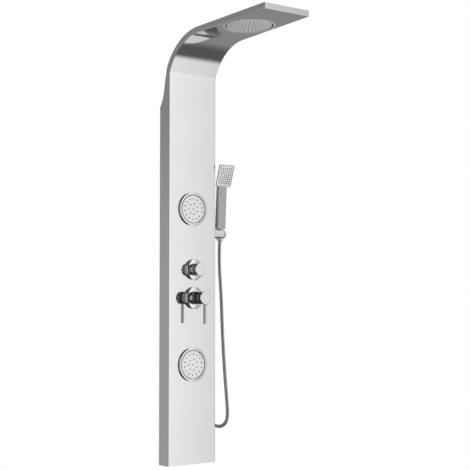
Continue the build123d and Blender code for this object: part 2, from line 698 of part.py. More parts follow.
with BuildPart() as holder_screws:
    for screw_up in (-10, 10):
        with BuildSketch(outward(HALF - SHEET, HOLDER_FORWARD, HOLDER_HEIGHT + screw_up)):
            Circle(2.5)
        extrude(amount=SHEET)
        with BuildSketch(outward(HALF - SHEET - 2.4, HOLDER_FORWARD, HOLDER_HEIGHT + screw_up)):
            Circle(4.5)
        extrude(amount=2.4)
holder_screws.part.label = "holder_screws"
export_step(holder_screws.part, "parts/holder_screws.step")

# ---- Hand shower ------------------------------------------------------------------------------------
HANDLE_FOOT_WIDE = 36.5
HANDLE_TOP_WIDE = 41.0
HANDLE_DEEP = 17.0
HANDLE_CORNER = 3.5
HANDLE_FOOT = 18.6  # above the socket's middle
HANDLE_TOP = 178.0
CONE_LOW = -25.0

with BuildPart() as handset_cone:
    with BuildSketch(handset_plane(CONE_LOW)):
        Circle(SOCKET_LOW_R - 0.5)
    with BuildSketch(handset_plane(HANDLE_FOOT)):
        Circle(SOCKET_TOP_R - 0.6)
    loft()
handset_cone.part.label = "handset_cone"
export_step(handset_cone.part, "parts/handset_cone.step")

with BuildPart() as handset_handle:
    with BuildSketch(handset_plane(HANDLE_FOOT)):
        RectangleRounded(HANDLE_FOOT_WIDE, HANDLE_DEEP, HANDLE_CORNER)
    with BuildSketch(handset_plane(HANDLE_TOP)):
        with Locations((0, 2.5)):
            RectangleRounded(HANDLE_TOP_WIDE, HANDLE_DEEP - 5, HANDLE_CORNER)
    loft()
handset_handle.part.label = "handset_handle"
export_step(handset_handle.part, "parts/handset_handle.step")

# The head's own plane: local x across, local y up the head, normal out of the spray face.
HEAD_WIDE = 65.0
HEAD_TALL = 80.0
HEAD_DEEP = 13.0
HEAD_RIM = 5.0  # straight part of the head's sides, behind which they slope in
HEAD_UP = Vector(0, -sin(radians(HEAD_LEAN)), cos(radians(HEAD_LEAN)))
HEAD_OUT = Vector(0, -cos(radians(HEAD_LEAN)), -sin(radians(HEAD_LEAN)))
HEAD_BOTTOM = place(HALF + HANDSET_OUT, -5.0, 973.0)
HEAD_CENTRE = HEAD_BOTTOM + HEAD_UP * (HEAD_TALL / 2)
HEAD = Plane(origin=HEAD_CENTRE, x_dir=(1, 0, 0), z_dir=HEAD_OUT)

with BuildPart() as handset_head:
    with BuildSketch(HEAD.offset(-HEAD_RIM)):
        RectangleRounded(HEAD_WIDE, HEAD_TALL, 4)
    extrude(amount=HEAD_RIM)
    with BuildSketch(HEAD.offset(-HEAD_RIM)):
        RectangleRounded(HEAD_WIDE, HEAD_TALL, 4)
    with BuildSketch(HEAD.offset(-HEAD_DEEP)):
        RectangleRounded(HEAD_WIDE - 20, HEAD_TALL - 20, 3)
    loft()
    with BuildSketch(HEAD):
        RectangleRounded(HEAD_WIDE - 7, HEAD_TALL - 7, 2.5)
    extrude(amount=-2, mode=Mode.SUBTRACT)
    add(handset_handle.part, mode=Mode.SUBTRACT)
handset_head.part.label = "handset_head"
export_step(handset_head.part, "parts/handset_head.step")

with BuildPart() as handset_face:
    with BuildSketch(HEAD.offset(-2)):
        RectangleRounded(HEAD_WIDE - 7, HEAD_TALL - 7, 2.5)
    extrude(amount=1.4)
handset_face.part.label = "handset_face"
export_step(handset_face.part, "parts/handset_face.step")

with BuildPart() as handset_nozzles:
    with BuildSketch(HEAD.offset(-0.6)):
        with GridLocations(8.6, 7.8, 6, 8):
            Circle(1.5)
    extrude(amount=1.6, taper=12)
handset_nozzles.part.label = "handset_nozzles"
export_step(handset_nozzles.part, "parts/handset_nozzles.step")

# ---- Hose -------------------------------------------------------------------------------------------
HOSE_ROUTE = (
    (112.0, -36.0, HOSE_TOP),
    (112.0, -36.0, 572.0),
    (110.8, -39.8, 470.0),
    (110.9, -43.2, 345.0),
    (110.0, -46.0, 214.0),
    (109.2, -47.8, 146.0),
    (115.7, -22.3, 121.4),
    (124.6, 12.5, 123.9),
    (130.2, 34.5, 151.9),
    (131.6, 25.0, 221.0),
    (134.2, 8.0, 326.0),
    (137.0, -8.0, 455.0),
    (139.5, -18.0, 585.0),
    (139.0, -32.12, 709.3),
    (139.0, -26.876, 779.05),
)


def corner_radii(points):
    """Radius of each corner's arc: 0.45 of the shorter run over the tangent of half the turn."""
    radii = []
    for before, corner, after in zip(points, points[1:], points[2:]):
        arriving = corner - before
        leaving = after - corner
        half_turn = radians(arriving.get_angle(leaving) / 2)
        radii.append(0.45 * min(arriving.length, leaving.length) / tan(half_turn))
    return radii


hose_points = [place(*point) for point in HOSE_ROUTE]
hose_radii = corner_radii(hose_points)
with BuildPart() as handset_hose:
    with BuildLine():
        hose_path = FilletPolyline(*hose_points, radius=hose_radii)
    with BuildSketch(Plane(origin=hose_points[0], z_dir=(0, 0, -1))):
        Circle(HOSE_D / 2)
    sweep(path=hose_path)
handset_hose.part.label = "handset_hose"
export_step(handset_hose.part, "parts/handset_hose.step")

hose_length = hose_path.length
print("hose radii", [round(radius) for radius in hose_radii])
print("hose length", round(hose_length, 1),
      "volume ratio", round(handset_hose.part.volume / (hose_length * pi * HOSE_D ** 2 / 4), 4))
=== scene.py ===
import json
import math

import bmesh
import bpy
import numpy as np
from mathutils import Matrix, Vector

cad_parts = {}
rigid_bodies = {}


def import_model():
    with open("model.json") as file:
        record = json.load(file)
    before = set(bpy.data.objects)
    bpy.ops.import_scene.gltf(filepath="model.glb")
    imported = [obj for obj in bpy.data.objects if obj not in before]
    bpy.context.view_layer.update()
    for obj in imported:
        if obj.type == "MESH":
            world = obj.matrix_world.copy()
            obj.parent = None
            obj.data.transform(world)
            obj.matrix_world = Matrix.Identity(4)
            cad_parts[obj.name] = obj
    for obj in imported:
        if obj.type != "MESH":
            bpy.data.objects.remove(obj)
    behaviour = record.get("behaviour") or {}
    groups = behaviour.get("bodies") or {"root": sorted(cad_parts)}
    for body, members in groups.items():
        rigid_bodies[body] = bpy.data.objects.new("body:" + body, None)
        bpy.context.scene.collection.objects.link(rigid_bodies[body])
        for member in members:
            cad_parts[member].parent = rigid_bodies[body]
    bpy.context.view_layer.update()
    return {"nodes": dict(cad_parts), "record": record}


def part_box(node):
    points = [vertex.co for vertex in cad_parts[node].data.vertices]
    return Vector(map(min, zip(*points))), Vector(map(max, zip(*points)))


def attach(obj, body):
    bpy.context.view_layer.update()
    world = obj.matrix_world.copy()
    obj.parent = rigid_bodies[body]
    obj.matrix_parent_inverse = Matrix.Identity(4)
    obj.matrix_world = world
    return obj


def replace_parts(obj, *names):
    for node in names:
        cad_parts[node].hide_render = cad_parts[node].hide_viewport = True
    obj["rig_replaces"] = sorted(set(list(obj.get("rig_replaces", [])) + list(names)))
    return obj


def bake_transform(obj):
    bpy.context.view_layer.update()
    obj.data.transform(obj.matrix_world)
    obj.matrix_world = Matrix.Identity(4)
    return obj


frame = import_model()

MM = 0.001

# ---- Driving dimensions, in millimetres unless a name says otherwise --------------------------------------
panel_low, panel_high = (np.array(corner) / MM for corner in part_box("front_panel"))
cap_low, _ = (np.array(corner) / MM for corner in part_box("bottom_cap"))
SHEET = 1.5
HALF = float(panel_high[0])
BOTTOM = float(panel_low[2])
DEPTH = float(SHEET - cap_low[1])
REACH = float(-panel_low[1] - DEPTH)
ARM_THICK = 20.5
NARROWING = 8.3
BEND_START = 1346.0
BENDS = ((60.0, 30.0), (186.0, 58.0))
BACK_EDGE = ((1243.0, 56.5), (1265.0, 43.0), (1291.0, 34.0), (1330.0, 26.5), (1346.0, 22.6), (1356.5, 20.5))
BACK_SLOPES = (-0.73, -0.44, -0.25, -0.22, -0.24, 0.0)
EDGE_ROLL = 2.2

UPPER_JET, LOWER_JET, DIVERTER, MIXER = 886.0, 343.5, 674.0, 575.6
VALVE_X = 5.0
JET_PIVOT, JET_BALL_R = 2.0, 48.6
JET_HOLE_R, DIVERTER_HOLE_R, MIXER_HOLE_R = 52.0, 15.0, 19.0
LEVER_FORWARD, LEVER_R = 67.0, 5.5
RAIN_FORWARD, RAIN_RISE, RAIN_R, RAIN_OPENING_R, RAIN_TRIM_R = 321.0, 3.0, 75.5, 80.5, 88.0
RAIN_AXIS_ANGLE = 35.0
RAIN_FACE_DOWN, RAIN_NOZZLE_PITCH = 3.4, 12.5
HOLDER_HEIGHT, HOLDER_FORWARD, HOLDER_R, HOLDER_LENGTH, HANDSET_OUT = 804.0, -25.0, 17.0, 62.5, 39.0
HANDSET_LEAN, HEAD_LEAN = 4.3, 18.0
HANDLE_FOOT, HANDLE_TOP = 18.6, 178.0
HEAD_WIDE, HEAD_TALL, HEAD_DEEP, HEAD_RIM = 65.0, 80.0, 13.0, 5.0
MANIFOLD_FORWARD = -36.0
OUTLET_OUT, OUTLET_DOWN = 12.0, 14.0
HOSE_D = 12.0

FORWARD = np.array((0.0, -1.0, 0.0))
UP = np.array((0.0, 0.0, 1.0))
RIGHT = np.array((1.0, 0.0, 0.0))


def spot(x, forward, height):
    """Row coordinates, in metres, of a place given in millimetres from the column's own faces."""
    place = np.broadcast_arrays(x, -(DEPTH + np.asarray(forward)), BOTTOM + np.asarray(height))
    return np.stack(place, -1) * MM


def unit(vector):
    vector = np.asarray(vector, float)
    return vector / np.linalg.norm(vector)


# ---- Camera -----------------------------------------------------------------------------------------------
CAMERA_PLACE = (-2376.4, 3332.1, 563.7)
CAMERA_YAW, CAMERA_PITCH = 37.58, 3.24
LENS, SENSOR = 89.66, 36.0

camera_data = bpy.data.cameras.new("camera")
camera_data.lens = LENS
camera_data.sensor_width = SENSOR
camera_data.clip_end = 60.0
camera = bpy.data.objects.new("camera", camera_data)
camera.location = spot(*CAMERA_PLACE)
camera.rotation_euler = (math.radians(90 + CAMERA_PITCH), 0.0, math.radians(-CAMERA_YAW))
bpy.context.scene.collection.objects.link(camera)
bpy.context.scene.camera = camera


# ---- Shader expressions -----------------------------------------------------------------------------------
class Value:
    """A number socket; arithmetic on it adds Math nodes."""

    def __init__(self, paint, socket):
        self.paint = paint
        self.socket = socket

    def math(self, operation, *others, clamp=False):
        sockets = {place: other for place, other in enumerate((self,) + others)}
        node = self.paint.node("ShaderNodeMath", {"operation": operation, "use_clamp": clamp}, sockets)
        return Value(self.paint, node.outputs[0])

    def reflected(self, operation, other):
        node = self.paint.node("ShaderNodeMath", {"operation": operation}, {0: other, 1: self})
        return Value(self.paint, node.outputs[0])

    def __add__(self, other):
        return self.math("ADD", other)

    def __radd__(self, other):
        return self.reflected("ADD", other)

    def __sub__(self, other):
        return self.math("SUBTRACT", other)

    def __rsub__(self, other):
        return self.reflected("SUBTRACT", other)

    def __mul__(self, other):
        return self.math("MULTIPLY", other)

    def __rmul__(self, other):
        return self.reflected("MULTIPLY", other)

    def __truediv__(self, other):
        return self.math("DIVIDE", other)

    def __rtruediv__(self, other):
        return self.reflected("DIVIDE", other)

    def __pow__(self, other):
        return self.math("POWER", other)

    def rise(self, low, high):
        """0 below low, 1 above high and a smooth step between; it falls when low is above high."""
        node = self.paint.node("ShaderNodeMapRange", {"interpolation_type": "SMOOTHSTEP"},
                               {"Value": self, "From Min": min(low, high), "From Max": max(low, high)})
        step = Value(self.paint, node.outputs["Result"])
        return step if low < high else 1 - step


class Paint:
    """Node tree of a material or a world."""

    def __init__(self, owner):
        owner.use_nodes = True
        self.tree = owner.node_tree
        self.tree.nodes.clear()

    def node(self, kind, settings=None, sockets=None):
        made = self.tree.nodes.new(kind)
        for key, setting in (settings or {}).items():
            setattr(made, key, setting)
        for key, source in (sockets or {}).items():
            if isinstance(source, Value):
                source = source.socket
            if isinstance(source, bpy.types.NodeSocket):
                self.tree.links.new(source, made.inputs[key])
            else:
                made.inputs[key].default_value = source
        return made

    def noise(self, scale, detail=3.0, stretch=(1.0, 1.0, 1.0), roughness=0.5):
        """Noise on object coordinates; scale is in cycles per metre, stretched along the axes."""
        place = self.node("ShaderNodeTexCoord").outputs["Object"]
        mapped = self.node("ShaderNodeMapping", None, {"Vector": place, "Scale": stretch})
        made = self.node("ShaderNodeTexNoise", None, {"Vector": mapped.outputs["Vector"], "Scale": scale,
                                                       "Detail": detail, "Roughness": roughness})
        return Value(self, made.outputs["Fac"])

    def blend(self, factor, low, high):
        mix = self.node("ShaderNodeMix", {"data_type": "RGBA"}, {"Factor": factor, "A": low, "B": high})
        return mix.outputs["Result"]

    def bump(self, height, strength, distance):
        inputs = {"Height": height, "Strength": strength, "Distance": distance}
        made = self.node("ShaderNodeBump", None, inputs)
        return made.outputs["Normal"]


def material(name, colour, roughness, metallic, **more):
    """Principled material; colour, roughness and normal may be sockets, the rest are constants."""
    made = bpy.data.materials.new(name)
    paint = Paint(made)
    shader = paint.node("ShaderNodeBsdfPrincipled", None, {"Metallic": metallic})
    output = paint.node("ShaderNodeOutputMaterial", None, {"Surface": shader.outputs["BSDF"]})
    output.location = (300, 0)
    for key, source in dict(more, **{"Base Color": colour(paint), "Roughness": roughness(paint)}).items():
        if callable(source):
            source = source(paint)
        if isinstance(source, Value):
            source = source.socket
        if isinstance(source, bpy.types.NodeSocket):
            paint.tree.links.new(source, shader.inputs[key])
        else:
            shader.inputs[key].default_value = source
    return made


def grain(across, along, strength):
    """Fine straight grain along Z: noise drawn out to long hairs."""
    def normal(paint):
        return paint.bump(paint.noise(1.0, 2.0, (across, across, along)), strength, 0.0001)
    return normal


def polished_steel():
    """Sheet polished almost to a mirror, with fine hairs and faint cloudy smears."""
    return material(
        "polished_steel",
        lambda p: p.blend(p.noise(9.0, 4.0), (0.80, 0.81, 0.82, 1), (0.86, 0.865, 0.87, 1)),
        lambda p: p.noise(14.0, 5.0) * 0.05 + p.noise(1.0, 2.0, (700.0, 700.0, 9.0)) * 0.04 + 0.03,
        1.0,
        Normal=grain(900.0, 11.0, 0.035),
    )


def satin_steel():
    """Plain folded sheet out of sight: a coarser rolled grain."""
    return material(
        "satin_steel",
        lambda p: p.blend(p.noise(40.0, 5.0), (0.46, 0.47, 0.48, 1), (0.62, 0.63, 0.64, 1)),
        lambda p: p.noise(1.0, 3.0, (60.0, 300.0, 700.0)) * 0.25 + 0.25,
        1.0,
        Normal=lambda p: p.bump(p.noise(1.0, 2.0, (40.0, 300.0, 900.0)), 0.15, 0.0001),
    )


def chrome():
    """Bright plate over polished brass; water marks only show in its roughness."""
    return material(
        "chrome",
        lambda p: p.blend(p.noise(60.0, 3.0), (0.78, 0.79, 0.80, 1), (0.84, 0.845, 0.85, 1)),
        lambda p: p.noise(90.0, 4.0).rise(0.5, 0.75) * 0.07 + 0.035,
        1.0,
        Normal=lambda p: p.bump(p.noise(45.0, 2.0), 0.02, 0.0004),
    )


def spray_plastic():
    """Satin silver lacquer over moulded plastic."""
    return material(
        "spray_plastic",
        lambda p: p.blend(p.noise(1500.0, 2.0), (0.78, 0.785, 0.79, 1), (0.86, 0.865, 0.87, 1)),
        lambda p: p.noise(30.0, 3.0) * 0.1 + 0.22,
        0.55,
        Normal=lambda p: p.bump(p.noise(2200.0, 2.0), 0.06, 0.0002),
    )


def satin_plate():
    """Satin plate on the hand shower's bar: a fine grain along it."""
    return material(
        "satin_plate",
        lambda p: p.blend(p.noise(25.0, 3.0), (0.48, 0.485, 0.49, 1), (0.54, 0.545, 0.55, 1)),
        lambda p: p.noise(1.0, 2.0, (1200.0, 1200.0, 40.0)) * 0.1 + 0.24,
        1.0,
        Normal=grain(1500.0, 40.0, 0.05),
    )


def matt_disc():
    """Bead-blasted disc of the rain head."""
    return material(
        "matt_disc",
        lambda p: p.blend(p.noise(800.0, 2.0), (0.72, 0.725, 0.73, 1), (0.82, 0.825, 0.83, 1)),
        lambda p: p.noise(60.0, 3.0) * 0.1 + 0.38,
        0.3,
        Normal=lambda p: p.bump(p.noise(2500.0, 2.0), 0.1, 0.0002),
    )


def soft_rubber():
    """Silicone nozzles: dull, slightly dusty."""
    return material(
        "soft_rubber",
        lambda p: p.blend(p.noise(400.0, 3.0), (0.10, 0.105, 0.11, 1), (0.17, 0.175, 0.18, 1)),
        lambda p: p.noise(700.0, 2.0) * 0.2 + 0.5,
        0.0,
        Normal=lambda p: p.bump(p.noise(1800.0, 2.0), 0.1, 0.0002),
    )


def cast_brass():
    """Machined and sand-cast brass that has dulled."""
    return material(
        "cast_brass",
        lambda p: p.blend(p.noise(70.0, 5.0), (0.36, 0.25, 0.10, 1), (0.62, 0.46, 0.22, 1)),
        lambda p: p.noise(160.0, 4.0) * 0.3 + 0.25,
        1.0,
        Normal=lambda p: p.bump(p.noise(900.0, 4.0), 0.25, 0.0003),
    )


def drawn_tube():
    """Stainless tube with draw marks."""
    return material(
        "drawn_tube",
        lambda p: p.blend(p.noise(50.0, 3.0), (0.50, 0.51, 0.52, 1), (0.62, 0.63, 0.64, 1)),
        lambda p: p.noise(1.0, 3.0, (900.0, 900.0, 20.0)) * 0.2 + 0.16,
        1.0,
        Normal=grain(800.0, 12.0, 0.1),
    )


def moulded_plastic():
    """Dark moulded chamber with a spark-eroded surface."""
    return material(
        "moulded_plastic",
        lambda p: p.blend(p.noise(90.0, 3.0), (0.020, 0.020, 0.022, 1), (0.045, 0.045, 0.048, 1)),
        lambda p: p.noise(300.0, 3.0) * 0.15 + 0.42,
        0.0,
        Normal=lambda p: p.bump(p.noise(3000.0, 2.0), 0.2, 0.0002),
    )


def hose_steel():
    """Chromed strip of the hose; the folds hold a little grime."""
    return material(
        "hose_steel",
        lambda p: p.blend(p.noise(220.0, 3.0), (0.52, 0.53, 0.54, 1), (0.70, 0.71, 0.72, 1)),
        lambda p: p.noise(500.0, 3.0) * 0.14 + 0.14,
        1.0,
        Normal=lambda p: p.bump(p.noise(1600.0, 2.0), 0.08, 0.0002),
    )


STEEL, SATIN, CHROME, SPRAY = polished_steel(), satin_steel(), chrome(), spray_plastic()
SATIN_PLATE, DISC = satin_plate(), matt_disc()
RUBBER, BRASS, TUBE = soft_rubber(), cast_brass(), drawn_tube()
MOULDED, HOSE = moulded_plastic(), hose_steel()
SLOT_MATERIALS = {
    "mirror_steel": STEEL, "bracket_steel": SATIN, "brass": BRASS, "pipe_steel": TUBE, "chrome": CHROME,
    "chamber_plastic": MOULDED, "spray_face": SPRAY, "nozzle_rubber": RUBBER, "hose_metal": HOSE,
}


# ---- Meshes from arrays -----------------------------------------------------------------------------------
def quads(rows, columns, wrap_rows=False, wrap_columns=False):
    """Four-cornered faces of a grid whose vertices are numbered row by row."""
    row = np.arange(rows if wrap_rows else rows - 1)[:, None]
    column = np.arange(columns if wrap_columns else columns - 1)[None, :]
    next_row = (row + 1) % rows
    next_column = (column + 1) % columns
    corners = (row * columns + column, row * columns + next_column,
               next_row * columns + next_column, next_row * columns + column)
    return np.stack([np.broadcast_to(c, (row.size, column.size)) for c in corners], -1).reshape(-1, 4)


def joined(*parts):
    """Several (vertices, faces) pairs as one, with the face numbers moved up."""
    vertices, faces, start = [], [], 0
    for points, corners in parts:
        vertices.append(points)
        faces += [tuple(int(k) + start for k in face) for face in corners]
        start += len(points)
    return np.concatenate(vertices), faces


def finished(name, shape, body, paint, stands_for=(), sharp=32.0, cutters=()):
    """Mesh object from (vertices, faces): merged, faced outwards, smooth except at folds."""
    points, faces = shape
    mesh = bpy.data.meshes.new(name)
    mesh.from_pydata(np.asarray(points, float).tolist(), [], [tuple(map(int, face)) for face in faces])
    shell = bmesh.new()
    shell.from_mesh(mesh)
    bmesh.ops.remove_doubles(shell, verts=shell.verts, dist=2e-6)
    bmesh.ops.dissolve_degenerate(shell, edges=shell.edges, dist=1e-7)
    bmesh.ops.recalc_face_normals(shell, faces=shell.faces)
    shell.to_mesh(mesh)
    shell.free()
    piece = bpy.data.objects.new(name, mesh)
    bpy.context.scene.collection.objects.link(piece)
    if cutters:
        cut_away(piece, cutters)
    piece.data.polygons.foreach_set("use_smooth", np.ones(len(piece.data.polygons), bool))
    piece.data.set_sharp_from_angle(angle=math.radians(sharp))
    piece.data.materials.clear()
    piece.data.materials.append(paint)
    if body:
        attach(piece, body)
    if stands_for:
        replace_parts(piece, *stands_for)
    return piece


def cut_away(piece, cutters):
    """Boolean difference of closed shapes from a piece, one after another."""
    for number, (points, faces) in enumerate(cutters):
        mesh = bpy.data.meshes.new("cutter")
        mesh.from_pydata(np.asarray(points).tolist(), [], [tuple(map(int, face)) for face in faces])
        shell = bmesh.new()
        shell.from_mesh(mesh)
        bmesh.ops.remove_doubles(shell, verts=shell.verts, dist=1e-7)
        bmesh.ops.recalc_face_normals(shell, faces=shell.faces)
        shell.to_mesh(mesh)
        shell.free()
        cutter = bpy.data.objects.new("cutter", mesh)
        bpy.context.scene.collection.objects.link(cutter)
        modifier = piece.modifiers.new("cut", "BOOLEAN")
        modifier.operation = "DIFFERENCE"
        modifier.solver = "EXACT"
        modifier.object = cutter
        evaluated = piece.evaluated_get(bpy.context.evaluated_depsgraph_get())
        result = bpy.data.meshes.new_from_object(evaluated)
        piece.modifiers.clear()
        piece.data = result
        result.name = f"{piece.name}_{number}"
        bpy.data.objects.remove(cutter)


def soften(outline, radius, steps=4, closed=True):
    """Outline whose corners are arcs tangent to both sides, each with a point just beyond its ends."""
    points = [np.array(point, float) for point in outline]
    count = len(points)
    rounded = []
    for place, corner in enumerate(points):
        if abs(corner[0]) < 1e-9 or (not closed and place in (0, count - 1)):
            rounded.append(corner[None])
            continue
        before, after = points[place - 1], points[(place + 1) % count]
        arriving, leaving = corner - before, after - corner
        reach = min(np.linalg.norm(arriving), np.linalg.norm(leaving))
        arriving, leaving = unit(arriving), unit(leaving)
        turn = math.acos(float(np.clip(np.dot(arriving, leaving), -1, 1)))
        back = min(radius * math.tan(turn / 2), 0.40 * reach)
        beyond = back + min(0.5, 0.07 * reach)
        share = np.linspace(0.0, 1.0, steps + 1)[:, None]
        start, end = corner - arriving * back, corner + leaving * back
        arc = (1 - share) ** 2 * start + 2 * share * (1 - share) * corner + share ** 2 * end
        rounded.extend([(corner - arriving * beyond)[None], arc, (corner + leaving * beyond)[None]])
    return np.concatenate(rounded)


def lathe(profile, centre, axis, segments=96, closed=True):
    """Surface of revolution: the profile's (radius, along) points, in mm, turned about the axis."""
    profile = np.asarray(profile, float) * MM
    axis = unit(axis)
    side_a = unit(np.cross(axis, UP if abs(axis[2]) < 0.9 else RIGHT))
    side_b = np.cross(axis, side_a)
    angle = np.linspace(0, 2 * np.pi, segments, endpoint=False)
    ring = np.cos(angle)[:, None] * side_a + np.sin(angle)[:, None] * side_b
    points = centre + profile[:, 1, None, None] * axis + profile[:, 0, None, None] * ring
    return points.reshape(-1, 3), quads(len(profile), segments, wrap_rows=closed, wrap_columns=True)


def cylinder(centre, axis, radius, length, segments=128):
    """Closed cylinder that starts at the centre and runs along the axis."""
    return lathe(((0, 0), (radius, 0), (radius, length), (0, length)), centre, axis, segments, closed=False)


def stations(ring_points):
    """Closed tube through rings of equal size, capped at both ends; ring_points is (rings, points, 3)."""
    rings, around, _ = ring_points.shape
    sides = quads(rings, around, wrap_columns=True).tolist()
    caps = [list(range(around)), list(range((rings - 1) * around, rings * around))]
    return ring_points.reshape(-1, 3), sides + caps


def rounded_rectangle(wide, tall, radius, steps=6):
    """Points round a rectangle with round corners, about its centre."""
    angle = np.linspace(0, np.pi / 2, steps + 1)
    points = []
    for quarter, (sx, sy) in enumerate(((1, 1), (-1, 1), (-1, -1), (1, -1))):
        turn = angle + quarter * np.pi / 2
        points.append(np.stack([sx * (wide / 2 - radius) + radius * np.cos(turn),
                                sy * (tall / 2 - radius) + radius * np.sin(turn)], -1))
    return np.concatenate(points)


# ---- Hose -------------------------------------------------------------------------------------------------
HOSE_ROUTE = (
    (112.0, -36.0, 646.0),
    (112.0, -36.0, 572.0),
    (110.8, -39.8, 470.0),
    (110.9, -43.2, 345.0),
    (110.0, -46.0, 214.0),
    (109.2, -47.8, 146.0),
    (115.7, -22.3, 121.4),
    (124.6, 12.5, 123.9),
    (130.2, 34.5, 151.9),
    (131.6, 25.0, 221.0),
    (134.2, 8.0, 326.0),
    (137.0, -8.0, 455.0),
    (139.5, -18.0, 585.0),
    (139.0, -32.12, 709.3),
    (139.0, -26.876, 779.05),
)
RIB_PITCH = 3.0
RIB_DEPTH = 0.55


def hose_line():
    """Smooth line of the hose, read from a NURBS spline on the route's points."""
    curve = bpy.data.curves.new("hose_line", "CURVE")
    curve.dimensions = "3D"
    curve.resolution_u = 24
    spline = curve.splines.new("NURBS")
    spline.points.add(len(HOSE_ROUTE) - 1)
    for point, place in zip(spline.points, HOSE_ROUTE):
        point.co = (*spot(*place), 1.0)
    spline.order_u = 3
    spline.use_endpoint_u = True
    holder = bpy.data.objects.new("hose_line", curve)
    mesh = bpy.data.meshes.new_from_object(holder)
    points = np.array([vertex.co[:] for vertex in mesh.vertices])
    bpy.data.objects.remove(holder)
    return points


def along_line(points, step):
    """Points at even steps along a line, with their tangents and the distance of each."""
    reach = np.concatenate(([0.0], np.cumsum(np.linalg.norm(np.diff(points, axis=0), axis=1))))
    count = int(round(reach[-1] / step)) + 1
    distance = np.linspace(0.0, reach[-1], count)
    even = np.stack([np.interp(distance, reach, points[:, k]) for k in range(3)], -1)
    tangent = np.gradient(even, axis=0)
    return even, tangent / np.linalg.norm(tangent, axis=1)[:, None], distance


def ribbed_hose():
    """Wound strip hose: radius = outer radius less a rounded valley once a pitch, along a helix."""
    line = hose_line()
    even, tangent, distance = along_line(line, RIB_PITCH * MM / 6)
    side_a = np.cross(tangent, RIGHT)
    side_a /= np.linalg.norm(side_a, axis=1)[:, None]
    side_b = np.cross(tangent, side_a)
    angle = np.linspace(0, 2 * np.pi, 20, endpoint=False)
    phase = (distance[:, None] / (RIB_PITCH * MM) + angle[None, :] / (2 * np.pi)) % 1.0
    valley = np.abs(2 * phase - 1) ** 3
    radius = (HOSE_D / 2 - RIB_DEPTH * valley) * MM
    ring = np.cos(angle)[None, :, None] * side_a[:, None] + np.sin(angle)[None, :, None] * side_b[:, None]
    piece = finished("handset_hose_wound", stations(even[:, None] + radius[..., None] * ring), None, HOSE,
                     ("handset_hose",), sharp=80.0)
    return piece, line, distance[-1]


HOSE_NUT = ((6.6, 0), (10, 0), (10, -1.6), (9.3, -2.2), (9.6, -8), (7.4, -13.4), (6.6, -14), (6.1, -14),
            (6.1, -1))
hose_nut_seat = spot(HALF + OUTLET_OUT, MANIFOLD_FORWARD, DIVERTER - OUTLET_DOWN)
hose_nut = finished("hose_nut_turned", lathe(soften(HOSE_NUT, 0.5, 3), hose_nut_seat, UP, 64),
                    "column", CHROME, ("hose_nut",))
hose, hose_path, hose_length = ribbed_hose()
tuple(spot(*HOSE_ROUTE[0]))
HOSE_STRETCH = (spot(140.0, -30.0, 618.0), spot(220.5, -30.0, 698.5))
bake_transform(hose)


# ---- Folded column and arm --------------------------------------------------------------------------------
def bent_line():
    """Forward, height and turn, in radians, down the middle of the front sheet: up, two arcs, and out."""
    first, second = (math.radians(turn) for _, turn in BENDS)
    below_bend = np.linspace(1243.0, BEND_START - 2, 18)
    climb = np.concatenate(([0.0, 1.0, 420.0, 840.0, 1235.0], below_bend, [BEND_START]))
    line = [np.stack([np.zeros_like(climb), climb, np.zeros_like(climb)], -1)]
    forward, height, turned = 0.0, BEND_START, 0.0
    for radius, extent in ((BENDS[0][0], first), (BENDS[1][0], second)):
        angle = turned + np.linspace(0.0, extent, int(round(math.degrees(extent))) + 1)[1:]
        centre = forward + radius * math.cos(turned), height - radius * math.sin(turned)
        line.append(np.stack([centre[0] - radius * np.cos(angle), centre[1] + radius * np.sin(angle), angle],
                             -1))
        forward, height, turned = line[-1][-1]
    ends = np.array([forward + 2, forward + 60, RAIN_FORWARD, REACH - 30, REACH - TIP_PLATE])
    line.append(np.stack([ends, height + (ends - forward) / math.tan(turned), np.full(5, turned)], -1))
    return np.concatenate(line)


def hermite(x, knots, values, slopes):
    """Piecewise cubic through the knots with the given slopes."""
    knots, values, slopes = (np.asarray(part, float) for part in (knots, values, slopes))
    span = np.clip(np.searchsorted(knots, x) - 1, 0, len(knots) - 2)
    width = knots[span + 1] - knots[span]
    t = np.clip((x - knots[span]) / width, 0, 1)
    return ((1 + 2 * t) * (1 - t) ** 2 * values[span] + t * (1 - t) ** 2 * width * slopes[span]
            + t * t * (3 - 2 * t) * values[span + 1] + t * t * (t - 1) * width * slopes[span + 1])


def narrowing(forward):
    """How far each side has drawn in at a place along the arm."""
    return NARROWING * np.clip(forward, 0, None) / REACH


TIP_PLATE = 1.4
LINE = bent_line()
LINE_F, LINE_Z, LINE_TURN = LINE.T
travel = LINE_Z + BENDS[0][0] * np.clip(LINE_TURN, 0, math.radians(10))
FLANGE = hermite(travel, [point[0] for point in BACK_EDGE], [point[1] for point in BACK_EDGE], BACK_SLOPES)
FLANGE = np.where(LINE_Z <= BACK_EDGE[0][0], DEPTH, FLANGE)
INWARD = np.stack([-np.cos(LINE_TURN), np.sin(LINE_TURN)], -1)
INWARD[-1] = (0.0, 1.0)


